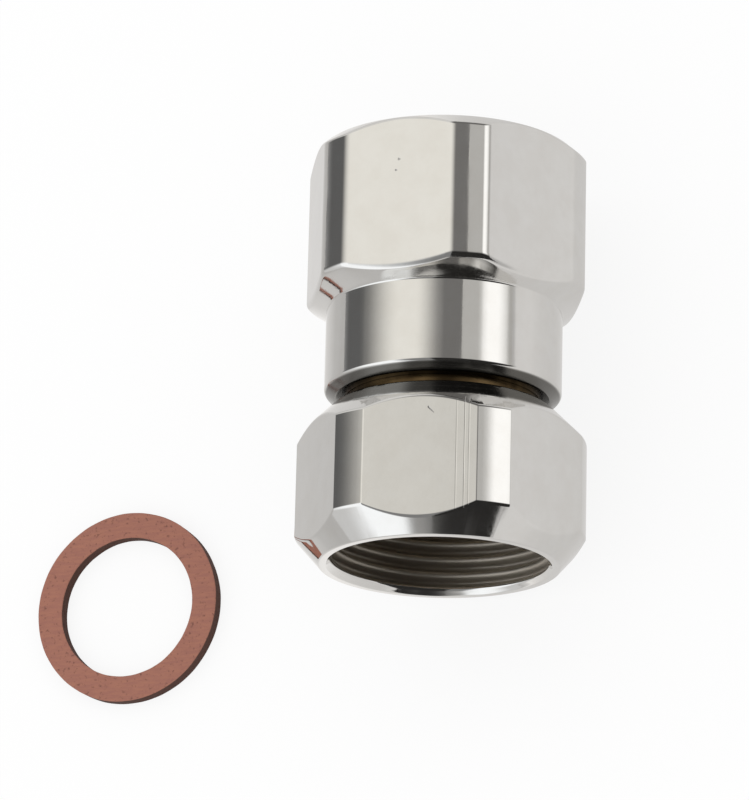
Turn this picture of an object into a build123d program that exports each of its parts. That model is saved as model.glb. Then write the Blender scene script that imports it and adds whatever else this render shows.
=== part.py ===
from build123d import *
import os
from math import degrees

# Straight swivel coupling for G 3/4 pipe thread: a chromed hexagon socket that narrows to a round
# collar, a brass tailpiece pressed into the collar, and a union nut that a wire ring holds
# captive on the tailpiece. The flat gasket for the union joint lies loose beside it.
#
# Millimetres. The coupling lies on its side, as it comes to rest. Its axis is Y, and the origin is
# the centre of the union nut's mouth, so that y is the distance from that mouth. Z is up.

# Pipe thread, cut as one plain ring for each turn
thread_minor_radius = 12.06
socket_thread_opening = 0.19    # how much wider the socket's is bored, within the thread's tolerance
thread_depth = 1.16
thread_pitch = 1.814
thread_crest_width = 0.4
thread_relief_extra = 0.2       # how much wider than the thread its run-out groove is

# Hexagons of the nut and of the socket, 30 mm across flats
hexagon_wall = 1.78             # least metal between the thread and a flat
corner_rise = 1.3               # how far the turned corners stand out from the flats

# Union nut
nut_length = 18.0
nut_turn = 12.0                 # degrees that the nut has come to rest out of line with the socket
nut_lip_thickness = 2.1
nut_mouth_face_width = 0.9      # the flat ring around the mouth
nut_mouth_slope_length = 3.2
nut_countersink_width = 0.64
nut_countersink_depth = 0.5
nut_shoulder_face_width = 1.2   # the flat ring that looks at the collar
nut_thread_runout = 0.8         # from the thread's last turn to the tailpiece's sealing face

# Coupling body: collar, shoulder and hexagon socket
collar_gap = 1.2                # from the nut's shoulder to the collar
collar_length = 10.4
collar_wall = 2.4
collar_bevel_width = 1.2
collar_bevel_length = 0.9
shoulder_face_width = 1.3       # the nearly flat ring next to the collar
shoulder_face_rise = 0.4
shoulder_length = 2.5
shoulder_bulge = 0.44           # how far the shoulder's rounding stands outside a straight cone
socket_length = 16.25
socket_chamfer_width = 1.65     # at the open end, measured in from the corners
socket_chamfer_length = 1.45
socket_depth = 15.0
socket_countersink = 1.0
socket_relief_width = 2.0

# Tailpiece
neck_inset = 1.06               # from the thread's bore in to the neck, so that the nose passes it
tailpiece_wall = 2.5
tailpiece_nose_length = 2.2     # from the sealing face to the ring's groove
tailpiece_nose_bevel = 0.4
press_depth = 8.0

# Retaining ring, a split ring of round wire let half into the neck
wire_radius = 1.0
ring_split = 3.0

# Clearances
neck_clearance = 0.3            # nut's lip around the neck
groove_clearance = 0.1          # ring in its groove
ring_play = 0.2                 # ring to the nut's lip
gasket_clearance = 0.61         # gasket in the thread's bore

# Gasket
gasket_thickness = 1.7
gasket_width = 3.1              # of the ring, from its hole to its outside
gasket_apart = 17.1             # clear floor between the gasket and the coupling's corners
gasket_y = 2.45

# Radii
thread_major_radius = thread_minor_radius + thread_depth
socket_minor_radius = thread_minor_radius + socket_thread_opening
relief_radius = thread_major_radius + thread_relief_extra
flat_radius = thread_major_radius + hexagon_wall
corner_radius = flat_radius + corner_rise
neck_radius = thread_minor_radius - neck_inset
bore_radius = neck_radius - tailpiece_wall
groove_radius = neck_radius - wire_radius - groove_clearance
collar_radius = neck_radius + collar_wall
lip_radius = neck_radius + neck_clearance
nut_shoulder_radius = lip_radius + nut_shoulder_face_width
nut_mouth_radius = thread_minor_radius + nut_countersink_width + nut_mouth_face_width
gasket_outer_radius = thread_minor_radius - gasket_clearance

# Places along the axis
lip_y = nut_length - nut_lip_thickness
ring_y = lip_y - ring_play - wire_radius
groove_half_width = wire_radius + groove_clearance
seal_y = ring_y - groove_half_width - tailpiece_nose_length
nut_thread_end_y = seal_y - nut_thread_runout
collar_y = nut_length + collar_gap
press_end_y = collar_y + press_depth
shoulder_y = collar_y + collar_length
socket_y = shoulder_y + shoulder_length
end_y = socket_y + socket_length
socket_bottom_y = end_y - socket_depth
socket_thread_end_y = socket_bottom_y + socket_relief_width

os.makedirs("parts", exist_ok=True)


def thread_section(bore, start_y, stop_y):
    """Points along a threaded bore: grooves a pitch apart, with a crest between them and at each end."""
    length = stop_y - start_y
    turns = int((abs(length) - thread_crest_width) / thread_pitch)
    way = 1 if length > 0 else -1
    half_groove = way * (thread_pitch - thread_crest_width) / 2
    points = []
    for turn in range(turns):
        y = (start_y + stop_y) / 2 + way * (turn - (turns - 1) / 2) * thread_pitch
        points += [
            (bore, y - half_groove),
            (thread_major_radius, y),
            (bore, y + half_groove),
        ]
    return points


# Coupling body, one turned piece of hexagon bar, threaded in its open end
with BuildPart() as coupling_body:
    with BuildSketch(Plane.XY):
        with BuildLine():
            collar = Polyline(
                (neck_radius, collar_y),
                (collar_radius - collar_bevel_width, collar_y),
                (collar_radius, collar_y + collar_bevel_length),
                (collar_radius, shoulder_y),
                (collar_radius + shoulder_face_width, shoulder_y + shoulder_face_rise),
            )
            shoulder = SagittaArc(collar @ 1, (corner_radius, socket_y), -shoulder_bulge)
            Polyline(
                shoulder @ 1,
                (corner_radius, end_y - socket_chamfer_length),
                (corner_radius - socket_chamfer_width, end_y),
                (socket_minor_radius + socket_countersink, end_y),
                (socket_minor_radius, end_y - socket_countersink),
                *thread_section(socket_minor_radius, end_y - socket_countersink, socket_thread_end_y),
                (socket_minor_radius, socket_thread_end_y),
                (relief_radius, socket_thread_end_y),
                (relief_radius, socket_bottom_y),
                (bore_radius, socket_bottom_y),
                (bore_radius, press_end_y),
                (neck_radius, press_end_y),
                collar @ 0,
            )
        make_face()
    revolve(axis=Axis.Y)
    with BuildSketch(Plane.XZ):
        RegularPolygon(flat_radius, 6, major_radius=False)
    extrude(amount=-end_y, mode=Mode.INTERSECT)
coupling_body.part.label = "coupling_body"
export_step(coupling_body.part, "parts/coupling_body.step")


# Tailpiece, a plain tube with a groove for the ring and a flat end that seals on the gasket
with BuildPart() as tailpiece:
    with BuildSketch(Plane.XY):
        with BuildLine():
            Polyline(
                (bore_radius, press_end_y),
                (bore_radius, seal_y),
                (neck_radius - tailpiece_nose_bevel, seal_y),
                (neck_radius, seal_y + tailpiece_nose_bevel),
                (neck_radius, ring_y - groove_half_width),
                (groove_radius, ring_y - groove_half_width),
                (groove_radius, ring_y + groove_half_width),
                (neck_radius, ring_y + groove_half_width),
                (neck_radius, press_end_y),
                close=True,
            )
        make_face()
    revolve(axis=Axis.Y)
tailpiece.part.label = "tailpiece"
export_step(tailpiece.part, "parts/tailpiece.step")


# Retaining ring, which the nut's lip pulls against when the union is tightened
with BuildPart() as retaining_ring:
    with BuildSketch(Plane.XY):
        with Locations((neck_radius, ring_y)):
            Circle(wire_radius)
    revolve(axis=Axis.Y, revolution_arc=360 - degrees(ring_split / neck_radius))
retaining_ring.part.label = "retaining_ring"
export_step(retaining_ring.part, "parts/retaining_ring.step")


# Union nut, turned of the same hexagon bar, with a long slope at its mouth
with BuildPart() as union_nut:
    with BuildSketch(Plane.XY):
        with BuildLine():
            Polyline(
                (thread_minor_radius, nut_countersink_depth),
                (thread_minor_radius + nut_countersink_width, 0),
                (nut_mouth_radius, 0),
                (corner_radius, nut_mouth_slope_length),
                (corner_radius, nut_length - (corner_radius - nut_shoulder_radius)),
                (nut_shoulder_radius, nut_length),
                (lip_radius, nut_length),
                (lip_radius, lip_y),
                (relief_radius, lip_y),
                (relief_radius, nut_thread_end_y),
                (thread_minor_radius, nut_thread_end_y),
                *thread_section(thread_minor_radius, nut_thread_end_y, nut_countersink_depth),
                close=True,
            )
        make_face()
    revolve(axis=Axis.Y)
    with BuildSketch(Plane.XZ):
        RegularPolygon(flat_radius, 6, major_radius=False, rotation=-nut_turn)
    extrude(amount=-nut_length, mode=Mode.INTERSECT)
union_nut.part.label = "union_nut"
export_step(union_nut.part, "parts/union_nut.step")


# Gasket, a punched flat ring that lies on the surface the nut rests on
floor_z = union_nut.part.bounding_box().min.Z
with BuildPart() as gasket:
    with BuildSketch(Plane.XY.offset(floor_z)):
        with Locations((-(corner_radius + gasket_apart + gasket_outer_radius), gasket_y)):
            Circle(gasket_outer_radius)
            Circle(gasket_outer_radius - gasket_width, mode=Mode.SUBTRACT)
    extrude(amount=gasket_thickness)
gasket.part.label = "gasket"
export_step(gasket.part, "parts/gasket.step")
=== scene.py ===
"""The looks of a chromed swivel pipe coupling and its fibre gasket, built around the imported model."""

import math

import bpy
import numpy as np
from mathutils import Matrix, Vector


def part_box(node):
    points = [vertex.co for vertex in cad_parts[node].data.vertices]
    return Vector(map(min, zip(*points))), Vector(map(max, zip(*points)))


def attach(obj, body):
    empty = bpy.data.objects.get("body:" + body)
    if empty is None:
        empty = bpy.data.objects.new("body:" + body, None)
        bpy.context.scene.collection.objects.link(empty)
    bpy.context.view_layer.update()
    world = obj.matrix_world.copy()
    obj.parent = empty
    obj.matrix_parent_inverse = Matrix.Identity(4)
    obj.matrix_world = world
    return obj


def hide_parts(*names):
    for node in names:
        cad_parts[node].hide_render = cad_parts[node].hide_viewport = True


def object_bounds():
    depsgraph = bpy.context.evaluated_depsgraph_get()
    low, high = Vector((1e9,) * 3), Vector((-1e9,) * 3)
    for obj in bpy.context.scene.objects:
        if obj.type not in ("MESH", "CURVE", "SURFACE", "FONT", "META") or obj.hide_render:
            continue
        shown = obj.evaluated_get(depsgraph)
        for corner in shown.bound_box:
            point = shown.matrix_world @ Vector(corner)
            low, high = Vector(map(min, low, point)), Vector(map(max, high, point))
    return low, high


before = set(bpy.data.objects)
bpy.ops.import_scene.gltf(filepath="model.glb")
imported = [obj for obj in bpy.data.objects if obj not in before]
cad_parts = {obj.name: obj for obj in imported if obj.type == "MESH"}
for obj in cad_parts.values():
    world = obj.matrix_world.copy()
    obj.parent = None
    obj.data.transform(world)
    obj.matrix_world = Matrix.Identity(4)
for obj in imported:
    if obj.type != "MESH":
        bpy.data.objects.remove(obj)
cad_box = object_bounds()

MM = 0.001

# Sizes are in millimetres, and those that the part's source has too are the same or within 0.2 mm of it.
# y runs along the coupling from the nut's mouth.
THREAD_MINOR = 12.06
SOCKET_MINOR = 12.25
THREAD_MAJOR = 13.22
THREAD_PITCH = 1.814
THREAD_HALF_ANGLE = math.radians(27.5)
# The thread sets in from this share of the countersink's depth to this far past the countersink
THREAD_START = (0.4, 0.9)
RELIEF_RADIUS = 13.42
COUNTERSINK_SLOPE = 0.9
FLAT_RADIUS = 15.0
CORNER_RADIUS = 16.3

NUT_LENGTH = 18.0
NUT_TURN = math.radians(12.0)
NUT_MOUTH_RADIUS = 13.5
NUT_MOUTH_SLOPE = 3.2
NUT_SHOULDER_RADIUS = 12.5
NUT_LIP_Y = 15.9
NUT_LIP_RADIUS = 11.3
NUT_THREAD_END = 10.6
NUT_THREAD_CREST = -0.398
NUT_THREAD_STEPS = 74
NUT_COUNTERSINK_DEPTH = 0.7

COLLAR_Y = 19.2
COLLAR_RADIUS = 13.4
COLLAR_BEVEL_WIDTH = 1.2
COLLAR_BEVEL_LENGTH = 0.9
SHOULDER_Y = 29.6
SHOULDER_SLOPE = 0.6
# How far the shoulder's rounding reaches in over its cone, and the y where it ends, each at the middle of a
# flat and at a corner
SHOULDER_REACH = (0.35, 0.45)
SHOULDER_CREASE = (31.3, 31.95)
CONE_STEPS = 5
SHOULDER_STEPS = 16
END_Y = 48.35
END_FACE_RADIUS = 14.65
END_CHAMFER_SLOPE = 0.88
SOCKET_BOTTOM_Y = 33.35
SOCKET_THREAD_END = 35.35
SOCKET_THREAD_CREST = 47.3
SOCKET_THREAD_STEPS = 80
SOCKET_COUNTERSINK_DEPTH = 1.0

NECK_RADIUS = 11.0
BORE_RADIUS = 8.5
SEAL_Y = 11.4
GROOVE_Y = (13.6, 15.8)
GROOVE_RADIUS = 9.9
PRESS_END_Y = 27.2
NECK_COLUMNS = 180
# Points on the neck where it enters the collar, so that the shading of its hidden end stays out of the gap
NECK_BREAK = 0.02

GASKET_WIDTH = 3.1
GASKET_RIM = 0.12
GASKET_LOWER_RIM = 0.6 * GASKET_RIM
# How much narrower it is at the bottom on each side, and how far apart the two ends of its outline are there
GASKET_TAPER = 0.04
GASKET_SEAM = 0.01
GASKET_COLUMNS = 256
# The unevenness of its punched edges: its size, its waves as (count round the edge, share), and where each
# edge's start
GASKET_WOBBLE = 0.035
GASKET_WAVES = ((3, 0.4), (7, 0.3), (13, 0.18), (29, 0.12))
GASKET_OUTER_PHASE = 0.7
GASKET_INNER_PHASE = 2.1

# How far the buffing has eaten each kind of edge back
SOFT_EDGE = 0.24
CRISP_EDGE = 0.16
TINY_EDGE = 0.1
NUT_CORNER_BLEND = 0.012
SOCKET_CORNER_BLEND = 0.235
ARC_STEPS = 6
# The greatest share of the run to the next corner that a rounding may take
ARC_SHARE = 0.45

# Columns of points round a hexagon, from the middle of a corner to that of a flat. They are closest together
# where the corner meets the flat. The distances are in degrees from there.
HALF_SECTOR = 30
CORNER_COLUMNS, CORNER_DISTANCE = 5, 2.6
MEETING_COLUMNS, MEETING_DISTANCES = 19, (-2.1, 2.4)
FLAT_COLUMNS, FLAT_DISTANCE = 12, 3.2


# Shapes


def link(obj):
    bpy.context.collection.objects.link(obj)
    return obj


def angles_around(turn):
    """Angles for one turn round the axis, for a hexagon with a flat that faces the angle turn."""
    meeting = HALF_SECTOR - math.degrees(math.acos(FLAT_RADIUS / CORNER_RADIUS))
    start, stop = (meeting + distance for distance in MEETING_DISTANCES)
    half = [
        *np.linspace(0, meeting - CORNER_DISTANCE, CORNER_COLUMNS),
        *np.linspace(start, stop, MEETING_COLUMNS),
        *np.linspace(meeting + FLAT_DISTANCE, HALF_SECTOR, FLAT_COLUMNS),
    ]
    sector = [-a for a in reversed(half[1:])] + half[:-1]
    return [turn + math.radians(HALF_SECTOR * (1 + 2 * k) + a) for k in range(6) for a in sector]


def hexagon_radius(angle, turn, blend):
    """Distance from the axis to a hexagon with turned corners, a flat of which faces the angle turn."""
    off = (angle - turn) % math.radians(60)
    off = min(off, math.radians(60) - off)
    flat = FLAT_RADIUS / math.cos(off)
    overlap = max(blend - abs(flat - CORNER_RADIUS), 0) / blend
    return min(flat, CORNER_RADIUS) - overlap**2 * blend / 4


def curve(start, middle, end, steps):
    """Points of a short curve that leaves start and reaches end along the lines to middle."""
    ts = [i / steps for i in range(steps + 1)]
    return [start * (1 - t) ** 2 + middle * 2 * t * (1 - t) + end * t**2 for t in ts]


def rounded(corners):
    """Points along an open outline of (radius, y, reach) corners, drawn round where reach isn't 0."""
    points = [Vector(corners[0][:2])]
    for before, here, after in zip(corners, corners[1:], corners[2:]):
        p, a, b = Vector(here[:2]), Vector(before[:2]), Vector(after[:2])
        if not here[2]:
            points.append(p)
            continue
        reach = min(here[2], ARC_SHARE * (a - p).length, ARC_SHARE * (b - p).length)
        points += curve(p + (a - p).normalized() * reach, p, p + (b - p).normalized() * reach, ARC_STEPS)
    points.append(Vector(corners[-1][:2]))
    return points


def smooth_step(t):
    t = min(max(t, 0.0), 1.0)
    return t * t * (3 - 2 * t)


def thread_depth_at(y, angle, crest, bore):
    """How deep a right-hand pipe thread is cut at one point; crest is where it stands out at angle 0."""
    phase = ((y - crest) / THREAD_PITCH - angle / math.tau) % 1.0
    flank = THREAD_PITCH * abs(phase - 0.5) / math.tan(THREAD_HALF_ANGLE)
    sharp = THREAD_PITCH / 2 / math.tan(THREAD_HALF_ANGLE)
    depth = THREAD_MAJOR - bore
    cut = (sharp + depth) / 2 - flank
    return depth * smooth_step(cut / depth)


def threaded_wall(angle, bore, from_y, to_y, mouth_y, cone_depth, crest, steps):
    """The wall of a threaded bore from from_y to to_y, with a countersink at mouth_y and a soft start."""
    start, full = cone_depth * THREAD_START[0], cone_depth + THREAD_START[1]
    points = []
    for y in np.linspace(from_y, to_y, steps):
        inside = abs(y - mouth_y)
        cut = thread_depth_at(y, angle, crest, bore) * smooth_step((inside - start) / (full - start))
        cone = max(cone_depth - inside, 0) * COUNTERSINK_SLOPE
        points.append(Vector((bore + max(cut, cone), y)))
    return points


def signed_volume(mesh):
    mesh.calc_loop_triangles()
    co = np.array([v.co for v in mesh.vertices])
    tri = np.array([t.vertices for t in mesh.loop_triangles])
    a, b, c = co[tri[:, 0]], co[tri[:, 1]], co[tri[:, 2]]
    return float((a * np.cross(b, c)).sum() / 6)


def skin(name, rings):
    """A closed skin over closed rings of points, each joined to the next and the last to the first."""
    n, m = len(rings), len(rings[0])
    verts = [tuple(c * MM for c in p) for ring in rings for p in ring]
    faces = [
        (i * m + j, i * m + (j + 1) % m, (i + 1) % n * m + (j + 1) % m, (i + 1) % n * m + j)
        for i in range(n)
        for j in range(m)
    ]
    mesh = bpy.data.meshes.new(name)
    mesh.from_pydata(verts, [], faces)
    mesh.validate()
    mesh.shade_smooth()
    if signed_volume(mesh) < 0:
        mesh.flip_normals()
    return link(bpy.data.objects.new(name, mesh))


def revolve(name, outline_at, angles):
    """A skin from a closed outline at each angle round the Y axis, with Z at angle 0 and X at 90 degrees."""
    rings = [[(p.x * math.sin(a), p.y, p.x * math.cos(a)) for p in outline_at(a)] for a in angles]
    obj = skin(name, rings)
    weighted = obj.modifiers.new("even_flats", "WEIGHTED_NORMAL")
    weighted.mode = "FACE_AREA"
    weighted.keep_sharp = True
    return obj


def nut_outline(angle):
    outer = hexagon_radius(angle, NUT_TURN, NUT_CORNER_BLEND)
    slope_y = NUT_MOUTH_SLOPE * (outer - NUT_MOUTH_RADIUS) / (CORNER_RADIUS - NUT_MOUTH_RADIUS)
    mouth = THREAD_MINOR + NUT_COUNTERSINK_DEPTH * COUNTERSINK_SLOPE
    corners = [
        (mouth - TINY_EDGE, TINY_EDGE, 0),
        (mouth, 0, TINY_EDGE),
        (NUT_MOUTH_RADIUS, 0, CRISP_EDGE),
        (outer, slope_y, SOFT_EDGE),
        (outer, NUT_LENGTH - (outer - NUT_SHOULDER_RADIUS), SOFT_EDGE),
        (NUT_SHOULDER_RADIUS, NUT_LENGTH, SOFT_EDGE),
        (NUT_LIP_RADIUS, NUT_LENGTH, CRISP_EDGE),
        (NUT_LIP_RADIUS, NUT_LIP_Y, TINY_EDGE),
        (RELIEF_RADIUS, NUT_LIP_Y, TINY_EDGE),
        (RELIEF_RADIUS, NUT_THREAD_END, TINY_EDGE),
        (THREAD_MINOR + TINY_EDGE, NUT_THREAD_END, 0),
    ]
    wall = threaded_wall(
        angle,
        bore=THREAD_MINOR,
        from_y=NUT_THREAD_END - TINY_EDGE,
        to_y=TINY_EDGE * 2,
        mouth_y=0,
        cone_depth=NUT_COUNTERSINK_DEPTH,
        crest=NUT_THREAD_CREST,
        steps=NUT_THREAD_STEPS,
    )
    return rounded(corners) + wall


def shoulder_to(outer):
    """Corners from the collar to the hexagon, of radius outer there, over a cone that is rounded into it."""
    share = (outer - FLAT_RADIUS) / (CORNER_RADIUS - FLAT_RADIUS)
    reach, crease = (flat + (corner - flat) * share for flat, corner in (SHOULDER_REACH, SHOULDER_CREASE))
    foot = Vector((COLLAR_RADIUS, SHOULDER_Y))
    edge = foot + Vector((1, SHOULDER_SLOPE)) * (outer - COLLAR_RADIUS)
    start = edge + (foot - edge).normalized() * reach
    cone = [foot.lerp(start, i / CONE_STEPS) for i in range(1, CONE_STEPS)]
    return [(*p, 0) for p in cone + curve(start, edge, Vector((outer, crease)), SHOULDER_STEPS)]


def body_outline(angle):
    outer = hexagon_radius(angle, 0, SOCKET_CORNER_BLEND)
    mouth = SOCKET_MINOR + SOCKET_COUNTERSINK_DEPTH * COUNTERSINK_SLOPE
    corners = [
        (BORE_RADIUS, PRESS_END_Y + TINY_EDGE, 0),
        (BORE_RADIUS, PRESS_END_Y, TINY_EDGE),
        (NECK_RADIUS, PRESS_END_Y, TINY_EDGE),
        (NECK_RADIUS, COLLAR_Y, TINY_EDGE),
        (COLLAR_RADIUS - COLLAR_BEVEL_WIDTH, COLLAR_Y, CRISP_EDGE),
        (COLLAR_RADIUS, COLLAR_Y + COLLAR_BEVEL_LENGTH, SOFT_EDGE),
        (COLLAR_RADIUS, SHOULDER_Y, CRISP_EDGE),
        *shoulder_to(outer),
        (outer, END_Y - (outer - END_FACE_RADIUS) * END_CHAMFER_SLOPE, SOFT_EDGE),
        (END_FACE_RADIUS, END_Y, SOFT_EDGE),
        (mouth, END_Y, CRISP_EDGE),
        (mouth - CRISP_EDGE, END_Y - CRISP_EDGE / COUNTERSINK_SLOPE, 0),
    ]
    wall = threaded_wall(
        angle,
        bore=SOCKET_MINOR,
        from_y=END_Y - CRISP_EDGE * 2,
        to_y=SOCKET_THREAD_END + TINY_EDGE,
        mouth_y=END_Y,
        cone_depth=SOCKET_COUNTERSINK_DEPTH,
        crest=SOCKET_THREAD_CREST,
        steps=SOCKET_THREAD_STEPS,
    )
    bottom = [
        (SOCKET_MINOR + TINY_EDGE, SOCKET_THREAD_END, 0),
        (RELIEF_RADIUS, SOCKET_THREAD_END, TINY_EDGE),
        (RELIEF_RADIUS, SOCKET_BOTTOM_Y, CRISP_EDGE),
        (BORE_RADIUS, SOCKET_BOTTOM_Y, CRISP_EDGE),
        (BORE_RADIUS, SOCKET_BOTTOM_Y - CRISP_EDGE * 2, 0),
    ]
    return rounded(corners) + wall + rounded(bottom)


def neck_outline(_angle):
    corners = [
        (BORE_RADIUS, PRESS_END_Y, 0),
        (BORE_RADIUS, SEAL_Y, CRISP_EDGE),
        (NECK_RADIUS, SEAL_Y, SOFT_EDGE),
        (NECK_RADIUS, GROOVE_Y[0], TINY_EDGE),
        (GROOVE_RADIUS, GROOVE_Y[0], TINY_EDGE),
        (GROOVE_RADIUS, GROOVE_Y[1], TINY_EDGE),
        (NECK_RADIUS, GROOVE_Y[1], TINY_EDGE),
        (NECK_RADIUS, COLLAR_Y, NECK_BREAK),
        (NECK_RADIUS, PRESS_END_Y, 0),
    ]
    return rounded(corners)


def gasket_wobble(angle, phase):
    """How far a punched edge of the gasket lies inside its full width, smoothly uneven round the gasket."""
    waves = sum(share * math.sin(k * angle + phase * k) for k, share in GASKET_WAVES)
    return GASKET_WOBBLE * (1 + waves)


def make_gasket():
    """The punched fibre ring, which lies flat, with the tool's rounding on its upper edges."""
    low, high = (v * (1 / MM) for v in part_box("gasket"))
    centre = (low + high) / 2
    outer = (high.x - low.x) / 2
    inner = outer - GASKET_WIDTH
    rings = []
    for i in range(GASKET_COLUMNS):
        a = math.tau * i / GASKET_COLUMNS
        out_r = outer - gasket_wobble(a, GASKET_OUTER_PHASE)
        in_r = inner + gasket_wobble(a, GASKET_INNER_PHASE)
        middle = (in_r + out_r) / 2
        corners = [
            (middle, low.z, 0),
            (out_r - GASKET_TAPER, low.z, GASKET_LOWER_RIM),
            (out_r, high.z, GASKET_RIM),
            (middle, high.z, GASKET_RIM),
            (in_r, high.z, GASKET_RIM),
            (in_r + GASKET_TAPER, low.z, GASKET_LOWER_RIM),
            (middle - GASKET_SEAM, low.z, 0),
        ]
        rings.append(
            [(centre.x + p.x * math.cos(a), centre.y + p.x * math.sin(a), p.y) for p in rounded(corners)]
        )
    return skin("fibre_gasket", rings)


# Nodes of the materials and of the world


class Graph:
    """The nodes of one material or of the world. A method takes sockets, plain numbers and plain colours
    alike, and gives back a socket."""

    def __init__(self, tree):
        self.nodes = tree.nodes
        self.links = tree.links

    def feed(self, socket, value):
        if isinstance(value, bpy.types.NodeSocket):
            self.links.new(value, socket)
        elif socket.type == "RGBA":
            socket.default_value = (*value, 1)
        else:
            socket.default_value = value

    def node(self, kind, inputs=None, **settings):
        """A new node; inputs are by name or by place."""
        node = self.nodes.new("ShaderNode" + kind)
        for name, value in settings.items():
            setattr(node, name, value)
        for key, value in (inputs or {}).items():
            self.feed(node.inputs[key], value)
        return node

    def calc(self, operation, *values):
        return self.node("Math", dict(enumerate(values)), operation=operation).outputs[0]

    def product(self, first, *others):
        for other in others:
            first = self.calc("MULTIPLY", first, other)
        return first

    def vector(self, operation, *values):
        """A vector worked out from vectors."""
        return self.node("VectorMath", dict(enumerate(values)), operation=operation).outputs["Vector"]

    def measure(self, operation, *values):
        """A number worked out from vectors."""
        return self.node("VectorMath", dict(enumerate(values)), operation=operation).outputs["Value"]

    def parts(self, vector):
        """The X, Y and Z of a vector."""
        return self.node("SeparateXYZ", {"Vector": vector}).outputs

    def remap(self, value, span, onto=(0.0, 1.0), interpolation="LINEAR"):
        """A value of which span is moved onto another span, and held at its ends."""
        inputs = {
            "Value": value,
            "From Min": span[0],
            "From Max": span[1],
            "To Min": onto[0],
            "To Max": onto[1],
        }
        return self.node("MapRange", inputs, interpolation_type=interpolation).outputs["Result"]

    def rise(self, value, edge):
        """0 below the edge and 1 beyond it; an edge is the two numbers between which it changes smoothly."""
        return self.remap(value, edge, (0.0, 1.0), "SMOOTHSTEP")

    def fall(self, value, edge):
        """1 below the edge and 0 beyond it."""
        return self.remap(value, edge, (1.0, 0.0), "SMOOTHSTEP")

    def between(self, value, start, end):
        """1 between two edges and 0 outside them."""
        return self.product(self.rise(value, start), self.fall(value, end))

    def mix(self, share, first, second):
        """The colour first where share is 0 and the colour second where it is 1."""
        return self.node("Mix", {0: share, 6: first, 7: second}, data_type="RGBA").outputs[2]

    def mix_numbers(self, share, first, second):
        return self.node("Mix", {0: share, 2: first, 3: second}, data_type="FLOAT").outputs[0]

    def mix_shaders(self, share, first, second):
        return self.node("MixShader", {0: share, 1: first, 2: second}).outputs["Shader"]

    def place(self, stretch=(1, 1, 1)):
        """The place on a piece, which moves with it, stretched along its axes."""
        return self.vector("MULTIPLY", self.node("TexCoord").outputs["Object"], stretch)

    def from_axis(self, place):
        """The distance of a place from the coupling's axis."""
        return self.measure("LENGTH", self.vector("MULTIPLY", place, (1, 0, 1)))

    def grain(self, place, size, detail, rough):
        """Noise from 0 to 1 with features of about size mm."""
        inputs = {"Vector": place, "Scale": 1 / (size * MM), "Detail": detail, "Roughness": rough}
        return self.node("TexNoise", inputs).outputs["Fac"]

    def surface(self, shader, colour, rough, height, depth):
        """Gives a shader its colour, its roughness and a relief whose height runs from 0 to depth mm."""
        bump = self.node("Bump", {"Height": height, "Strength": 1.0, "Distance": depth * MM})
        self.feed(shader.inputs["Base Color"], colour)
        self.feed(shader.inputs["Roughness"], rough)
        self.feed(shader.inputs["Normal"], bump.outputs["Normal"])


def edge_at(middle, softness):
    """An edge that lies softness mm to either side of middle."""
    return (middle - softness) * MM, (middle + softness) * MM


def new_material(name, metallic=0.0):
    mat = bpy.data.materials.new(name)
    mat.use_nodes = True
    shader = mat.node_tree.nodes["Principled BSDF"]
    shader.inputs["Metallic"].default_value = metallic
    return mat, Graph(mat.node_tree), shader


# Materials. A kind of noise is (size in mm, detail, roughness), and a span is the part of it that shows.

CHROME = (0.76, 0.752, 0.735)
CHROME_MOTTLED = (0.735, 0.722, 0.70)
CHROME_MOTTLE = (2.6, 3.0, 0.6)
CHROME_MOTTLE_SPAN = (0.35, 0.7)
CHROME_STREAKS = (0.35, 2.0, 0.7)
CHROME_STREAKS_STRETCH = (1.0, 0.06, 1.0)
CHROME_SMEARS = (4.5, 2.0, 0.5)
CHROME_BUFFING_SPAN = (0.7, 1.3)
CHROME_ROUGHNESS = (0.035, 0.11)
CHROME_WAVES = (7.0, 1.0, 0.5)
CHROME_RIPPLES = (0.5, 2.0, 0.6)
CHROME_RIPPLES_HEIGHT = 0.05
CHROME_RELIEF = 0.03

# Where the plating is thin and dull, in the threads, and where shade is painted, in the gap between the nut
# and the
# collar: (greatest radius, from y, to y, colour, roughness), and the softness of such a zone's edges
THREAD_COLOUR = (0.5, 0.46, 0.4)
# A dark colour that is painted shade, in the gap between the nut and the collar and in the dents
PAINTED_SHADE_COLOUR = (0.17, 0.165, 0.155)
NUT_ZONES = (
    (13.5, 0.85, 17.0, THREAD_COLOUR, 0.55),
    (12.6, 17.0, 18.5, PAINTED_SHADE_COLOUR, 0.3),
)
BODY_ZONES = (
    (13.3, 18.5, 19.98, PAINTED_SHADE_COLOUR, 0.2),
    (13.5, 33.25, 47.4, THREAD_COLOUR, 0.55),
)
ZONE_SOFT_OUTWARD = 0.04
ZONE_SOFT_ALONG = 0.12

# Small dents: a short scratch on the nut, made of overlapping ones, and two pits on the socket. A mark is
# (x, y, z, radius), and its bottom is flat over a share of that radius.
SCRATCH = (Vector((4.0, 14.1, 14.49)), Vector((4.54, 13.49, 14.37)))
SCRATCH_DENTS = 7
SCRATCH_RADIUS = 0.13
SCRATCH_THINNING = 0.012
NUT_MARKS = [
    (*SCRATCH[0].lerp(SCRATCH[1], i / (SCRATCH_DENTS - 1)), SCRATCH_RADIUS - SCRATCH_THINNING * i)
    for i in range(SCRATCH_DENTS)
]
BODY_MARKS = [(0.02, 43.18, 15.0, 0.2), (-0.31, 41.92, 15.0, 0.16)]
MARK_BOTTOM = 0.2
# How far each dent's colour goes towards the painted shade colour: a painted shade in the dent
MARK_PAINTED_SHADE = 0.4

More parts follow.
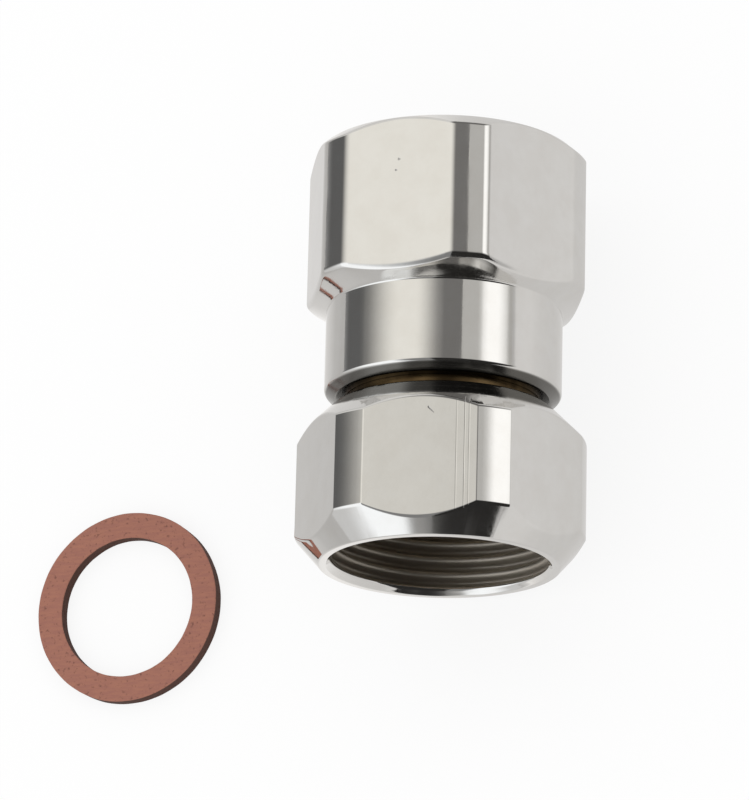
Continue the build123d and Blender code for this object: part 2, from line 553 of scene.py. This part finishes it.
# Fine lines along the nut's upper flat: (distance from the flat's middle, half width, share of CHROME_RELIEF
# that they are deep), the edges in z and y that they keep to, and the share of the half width that is bottom
NUT_LINES = ((4.05, 0.1, 0.25), (4.95, 0.08, 0.6), (5.45, 0.1, 0.25))
ACROSS_UPPER_FLAT = (math.cos(NUT_TURN), 0, -math.sin(NUT_TURN))
LINE_ABOVE = (10 * MM, 12 * MM)
LINE_START = (2.0 * MM, 3.0 * MM)
LINE_END = (15.0 * MM, 15.6 * MM)
LINE_BOTTOM = 0.3

# The neck's outer colours, far darker than brass as a painted shade of the gap it shows through, mottled
# between them
BRASS_FILM_AND_SHADE_COLOURS = ((0.14, 0.094, 0.045), (0.06, 0.039, 0.019))
BRASS_BORE_COLOUR = (0.5, 0.36, 0.18)
BRASS_BORE_EDGE = ((NECK_RADIUS - 0.7) * MM, (NECK_RADIUS - 0.4) * MM)
BRASS_FILM = (3.0, 3.0, 0.6)
BRASS_FILM_SPAN = (0.35, 0.65)
BRASS_RINGS = (0.16, 2.0, 0.6)
BRASS_RINGS_STRETCH = (0.03, 1.0, 0.03)
BRASS_RINGS_SPAN = (0.3, 0.7)
BRASS_ROUGHNESS = (0.2, 0.36)
BRASS_RELIEF = 0.006

WIRE_COLOURS = ((0.5, 0.495, 0.48), (0.33, 0.32, 0.3))
WIRE_OIL = (2.0, 3.0, 0.6)
WIRE_OIL_SPAN = (0.35, 0.65)
WIRE_SCRATCHES = (0.12, 2.0, 0.7)
WIRE_SCRATCHES_STRETCH = (0.2, 1.0, 0.2)
WIRE_SCRATCHES_SPAN = (0.3, 0.7)
WIRE_ROUGHNESS = (0.25, 0.45)
WIRE_RELIEF = 0.004

FIBRE_TOP = (0.325, 0.135, 0.1)
FIBRE_WARM = (0.37, 0.16, 0.11)
FIBRE_FLECK = (0.17, 0.07, 0.052)
# The side walls' colour: partly the darker fibre where the punch tore it, partly painted shade of walls that
# get less light
FIBRE_TORN_EDGE_AND_SHADE = (0.075, 0.03, 0.02)
FIBRE_STREAKS = (0.32, 3.0, 0.65)
FIBRE_STREAKS_STRETCH = (0.16, 1.0, 1.0)
FIBRE_COLOUR_SPAN = (0.36, 0.64)
FIBRE_ROUGHNESS_SPAN = (0.3, 0.7)
FIBRE_ROUGHNESS = (0.7, 0.9)
FIBRE_FLECKS = (0.4, 2.0, 0.6)
FIBRE_FLECKS_SPAN = (0.6, 0.72)
FIBRE_FLECKS_SHARE = (0.0, 0.8)
FIBRE_FLECKS_HEIGHT = -0.6
FIBRE_RELIEF = 0.05
FIBRE_SPECULAR = 0.35
# How far below the top the dark of the side walls starts and is full: partly the punch's tearing, partly
# painted shade
FIBRE_EDGE_AND_SHADE_DEPTH = (0.2 * MM, 0.05 * MM)


def plating(name, zones, marks, lines=()):
    """Buffed chromium: faintly wavy and mottled, with streaks, dull threads, painted shade in the gap
    between the nut and the collar, small dents with painted shade in them and fine lines.
    """
    mat, graph, shader = new_material(name, metallic=1.0)
    place = graph.place()
    radius = graph.from_axis(place)
    parts = graph.parts(place)
    mottle = graph.remap(graph.grain(place, *CHROME_MOTTLE), CHROME_MOTTLE_SPAN)
    colour = graph.mix(mottle, CHROME, CHROME_MOTTLED)
    streaks = graph.grain(graph.place(CHROME_STREAKS_STRETCH), *CHROME_STREAKS)
    smears = graph.grain(place, *CHROME_SMEARS)
    rough = graph.remap(graph.calc("ADD", streaks, smears), CHROME_BUFFING_SPAN, CHROME_ROUGHNESS)
    for most, start, end, tint, dull in zones:
        here = graph.product(
            graph.fall(radius, edge_at(most, ZONE_SOFT_OUTWARD)),
            graph.between(parts["Y"], edge_at(start, ZONE_SOFT_ALONG), edge_at(end, ZONE_SOFT_ALONG)),
        )
        # In the gap between the nut and the collar this mix paints shade; in the threads it gives the dull
        # plating its colour
        colour = graph.mix(here, colour, tint)
        rough = graph.mix_numbers(here, rough, dull)
    ripples = graph.product(graph.grain(place, *CHROME_RIPPLES), CHROME_RIPPLES_HEIGHT)
    height = graph.calc("ADD", graph.grain(place, *CHROME_WAVES), ripples)
    for across, width, depth in lines:
        side = graph.measure("DOT_PRODUCT", place, ACROSS_UPPER_FLAT)
        off = graph.calc("ABSOLUTE", graph.calc("SUBTRACT", side, across * MM))
        line = graph.product(
            graph.fall(off, (LINE_BOTTOM * width * MM, width * MM)),
            graph.rise(parts["Z"], LINE_ABOVE),
            graph.between(parts["Y"], LINE_START, LINE_END),
            streaks,
        )
        height = graph.calc("SUBTRACT", height, graph.product(line, depth))
    for x, y, z, size in marks:
        away = graph.measure("DISTANCE", place, (x * MM, y * MM, z * MM))
        dent = graph.fall(away, (MARK_BOTTOM * size * MM, size * MM))
        height = graph.calc("SUBTRACT", height, dent)
        # A painted shade in each dent
        colour = graph.mix(graph.product(dent, MARK_PAINTED_SHADE), colour, PAINTED_SHADE_COLOUR)
    graph.surface(shader, colour, rough, height, CHROME_RELIEF)
    return mat


def brass():
    """Turned brass, with the tool's fine rings, a bore of brighter brass, and outside it a colour darkened
    as painted shade of the gap it shows through, mottled between two tones.
    """
    mat, graph, shader = new_material("bare_brass", metallic=1.0)
    place = graph.place()
    film = graph.remap(graph.grain(place, *BRASS_FILM), BRASS_FILM_SPAN)
    bore = graph.fall(graph.from_axis(place), BRASS_BORE_EDGE)
    # Painted shade: the brass outside the bore takes the darkened colours
    colour = graph.mix(bore, graph.mix(film, *BRASS_FILM_AND_SHADE_COLOURS), BRASS_BORE_COLOUR)
    rings = graph.grain(graph.place(BRASS_RINGS_STRETCH), *BRASS_RINGS)
    rough = graph.remap(rings, BRASS_RINGS_SPAN, BRASS_ROUGHNESS)
    graph.surface(shader, colour, rough, rings, BRASS_RELIEF)
    return mat


def spring_steel():
    """Drawn spring wire, with fine lengthwise scratches and darker patches of oil."""
    mat, graph, shader = new_material("spring_wire", metallic=1.0)
    oil = graph.remap(graph.grain(graph.place(), *WIRE_OIL), WIRE_OIL_SPAN)
    scratches = graph.grain(graph.place(WIRE_SCRATCHES_STRETCH), *WIRE_SCRATCHES)
    rough = graph.remap(scratches, WIRE_SCRATCHES_SPAN, WIRE_ROUGHNESS)
    graph.surface(shader, graph.mix(oil, *WIRE_COLOURS), rough, scratches, WIRE_RELIEF)
    return mat


def fibre():
    """Pressed red fibre: fine streaks one way, dark flecks, and dark side walls, partly from the punch
    tearing the fibre and partly painted shade.
    """
    mat, graph, shader = new_material("red_fibre")
    place = graph.place()
    streaks = graph.grain(graph.place(FIBRE_STREAKS_STRETCH), *FIBRE_STREAKS)
    colour = graph.mix(graph.remap(streaks, FIBRE_COLOUR_SPAN), FIBRE_TOP, FIBRE_WARM)
    flecks = graph.remap(graph.grain(place, *FIBRE_FLECKS), FIBRE_FLECKS_SPAN, FIBRE_FLECKS_SHARE)
    colour = graph.mix(flecks, colour, FIBRE_FLECK)
    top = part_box("gasket")[1].z
    torn_and_shaded = graph.fall(graph.parts(place)["Z"], tuple(top - depth for depth in FIBRE_EDGE_AND_SHADE_DEPTH))
    # Darkens the side walls: partly the punched fibre, partly painted shade
    colour = graph.mix(torn_and_shaded, colour, FIBRE_TORN_EDGE_AND_SHADE)
    rough = graph.remap(streaks, FIBRE_ROUGHNESS_SPAN, FIBRE_ROUGHNESS)
    height = graph.calc("ADD", streaks, graph.product(flecks, FIBRE_FLECKS_HEIGHT))
    graph.surface(shader, colour, rough, height, FIBRE_RELIEF)
    shader.inputs["Specular IOR Level"].default_value = FIBRE_SPECULAR
    return mat


# Pieces


def set_material(obj, material):
    obj.data.materials.clear()
    obj.data.materials.append(material)


def dress(obj, material, body, node):
    set_material(obj, material)
    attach(obj, body)
    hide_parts(node)


nut = revolve("nut_shell", nut_outline, angles_around(NUT_TURN))
dress(nut, plating("nut_chrome", NUT_ZONES, NUT_MARKS, NUT_LINES), "nut", "union_nut")

body = revolve("socket_and_collar", body_outline, angles_around(0))
dress(body, plating("body_chrome", BODY_ZONES, BODY_MARKS), "coupling", "coupling_body")

neck_angles = [math.radians(360 / NECK_COLUMNS * i) for i in range(NECK_COLUMNS)]
neck = revolve("brass_neck", neck_outline, neck_angles)
dress(neck, brass(), "coupling", "tailpiece")

dress(make_gasket(), fibre(), "coupling", "gasket")

set_material(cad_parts["retaining_ring"], spring_steel())


# Floor, light and camera

FLOOR_SIZE = 4.0
FLOOR_COLOUR = (0.94, 0.94, 0.94)
FLOOR_SHADOW = 0.16
# Brightness of the floor as the metal mirrors it, by the distance in mm to the right of the axis
FLOOR_IN_METAL = (
    (-200, 0.56),
    (-75, 0.6),
    (-30, 0.76),
    (-20, 1.02),
    (0, 0.74),
    (20, 0.7),
    (60, 0.8),
    (250, 0.78),
    (500, 0.55),
)
FLOOR_TINT = (1.0, 0.985, 0.97)

# The camera where the photograph's was, as fitted to points read off it
CAMERA_PLACE = (194.9, -146.2, 501.9)
CAMERA_RIGHT = (0.92938, 0.02374, -0.36836)
CAMERA_UP = (0.08721, 0.95555, 0.28163)
CAMERA_LENS = 225.0
CAMERA_SENSOR = 36.0
CAMERA_CLIP = (0.05, 10.0)

# The studio round the coupling, as its metal mirrors it. An angle is counted round the coupling's axis from
# straight up, towards the right. A panel is (from, to, softness at from, softness at to, colour).
ROOM = (0.13, 0.13, 0.13)
BESIDE = (
    (-120, -88, 6, 8, (0.26, 0.26, 0.26)),
    (-46, 40, 48, 1, (0.985, 0.962, 0.9)),
    (7.4, 38.6, 30, 1.2, (0.2, 0.195, 0.19)),
    (38.6, 100, 1.2, 10, (0.56, 0.55, 0.53)),
    (59, 83, 12, 20, (1.3, 1.29, 1.27)),
    (86, 93, 5, 2, (0.5, 0.49, 0.47)),
)
BEFORE = (
    (-130, -30, 10, 20, (0.7, 0.7, 0.7)),
    (-70, -19, 24, 24, (1.22, 1.25, 1.28)),
    (-19, 10, 24, 5, (0.25, 0.25, 0.25)),
    (10, 110, 5, 10, (0.025, 0.024, 0.023)),
)
FAR_BEFORE = (
    (-180, 8, 10, 74, (0.7, 0.69, 0.67)),
    (8, 62, 74, 20, (0.035, 0.034, 0.033)),
    (62, 180, 20, 10, (0.06, 0.058, 0.056)),
)
BEHIND = (
    (-180, 0, 10, 30, (0.8, 0.79, 0.77)),
    (0, 75, 30, 20, (0.17, 0.165, 0.16)),
    (75, 180, 20, 10, (0.5, 0.49, 0.48)),
)
# The edges between these rings of panels, in the Y of the direction that is mirrored
BEFORE_EDGE = (-0.1, 0.2)
FAR_BEFORE_EDGE = (-0.96, -0.86)
BEHIND_EDGE = (0.42, 0.6)
DAYLIGHT = (1.05, 1.05, 1.05)
BACKDROP = (1.0, 1.0, 1.0)


def make_floor():
    """The floor: white with a faint shadow for the camera, pale for the light, as listed for the metal."""
    half = FLOOR_SIZE / 2
    z = cad_box[0].z
    corners = [(-half, -half, z), (half, -half, z), (half, half, z), (-half, half, z)]
    mesh = bpy.data.meshes.new("floor")
    mesh.from_pydata(corners, [], [(0, 1, 2, 3)])
    mat, graph, shader = new_material("pale_floor")
    graph.feed(shader.inputs["Base Color"], FLOOR_COLOUR)
    shader.inputs["Roughness"].default_value = 1.0
    shader.inputs["Specular IOR Level"].default_value = 0.0
    plain = shader.outputs["BSDF"]

    low, high = FLOOR_IN_METAL[0][0], FLOOR_IN_METAL[-1][0]
    across = graph.parts(graph.node("NewGeometry").outputs["Position"])["X"]
    ramp = graph.node("ValToRGB", {"Fac": graph.remap(across, (low * MM, high * MM))})
    stops = ramp.color_ramp.elements
    while len(stops) < len(FLOOR_IN_METAL):
        stops.new(0.5)
    for stop, (x, level) in zip(stops, FLOOR_IN_METAL):
        stop.position = (x - low) / (high - low)
        stop.color = (*(level * t for t in FLOOR_TINT), 1)
    mirrored = graph.node("Emission", {"Color": ramp.outputs["Color"]}).outputs["Emission"]

    path = graph.node("LightPath").outputs
    white = graph.node("Emission").outputs["Emission"]
    unseen = graph.mix_shaders(path["Is Glossy Ray"], plain, mirrored)
    seen = graph.mix_shaders(FLOOR_SHADOW, white, plain)
    surface = graph.mix_shaders(path["Is Camera Ray"], unseen, seen)
    graph.feed(graph.nodes["Material Output"].inputs["Surface"], surface)
    mesh.materials.append(mat)
    link(bpy.data.objects.new("floor", mesh))


def make_camera():
    right = Vector(CAMERA_RIGHT)
    back = right.cross(Vector(CAMERA_UP)).normalized()
    up = back.cross(right).normalized()
    camera = link(bpy.data.objects.new("camera", bpy.data.cameras.new("camera")))
    turn = Matrix((right, up, back)).transposed()
    camera.matrix_world = Matrix.Translation(Vector(CAMERA_PLACE) * MM) @ turn.to_4x4()
    camera.data.lens = CAMERA_LENS
    camera.data.sensor_width = CAMERA_SENSOR
    camera.data.clip_start, camera.data.clip_end = CAMERA_CLIP
    bpy.context.scene.camera = camera


def panels(graph, angle, listed):
    """The colour of one ring of the studio: the room, with each panel over those before it."""
    colour = ROOM
    for start, end, soft_start, soft_end, panel in listed:
        begins = (start - soft_start / 2, start + soft_start / 2)
        ends = (end - soft_end / 2, end + soft_end / 2)
        colour = graph.mix(graph.between(angle, begins, ends), colour, panel)
    return colour


def make_world():
    """The light: even daylight on everything, the studio in what the metal mirrors, and a white backdrop."""
    world = bpy.data.worlds.new("studio")
    world.use_nodes = True
    graph = Graph(world.node_tree)
    parts = graph.parts(graph.node("TexCoord").outputs["Generated"])
    angle = graph.calc("DEGREES", graph.calc("ARCTAN2", parts["X"], parts["Z"]))
    studio = panels(graph, angle, BESIDE)
    studio = graph.mix(graph.fall(parts["Y"], BEFORE_EDGE), studio, panels(graph, angle, BEFORE))
    studio = graph.mix(graph.fall(parts["Y"], FAR_BEFORE_EDGE), studio, panels(graph, angle, FAR_BEFORE))
    studio = graph.mix(graph.rise(parts["Y"], BEHIND_EDGE), studio, panels(graph, angle, BEHIND))
    path = graph.node("LightPath").outputs
    lit = graph.mix(path["Is Glossy Ray"], DAYLIGHT, studio)
    seen = graph.mix(path["Is Camera Ray"], lit, BACKDROP)
    graph.feed(graph.nodes["Background"].inputs["Color"], seen)
    bpy.context.scene.world = world


make_floor()
make_camera()
make_world()
bpy.context.scene.view_settings.view_transform = "Standard"
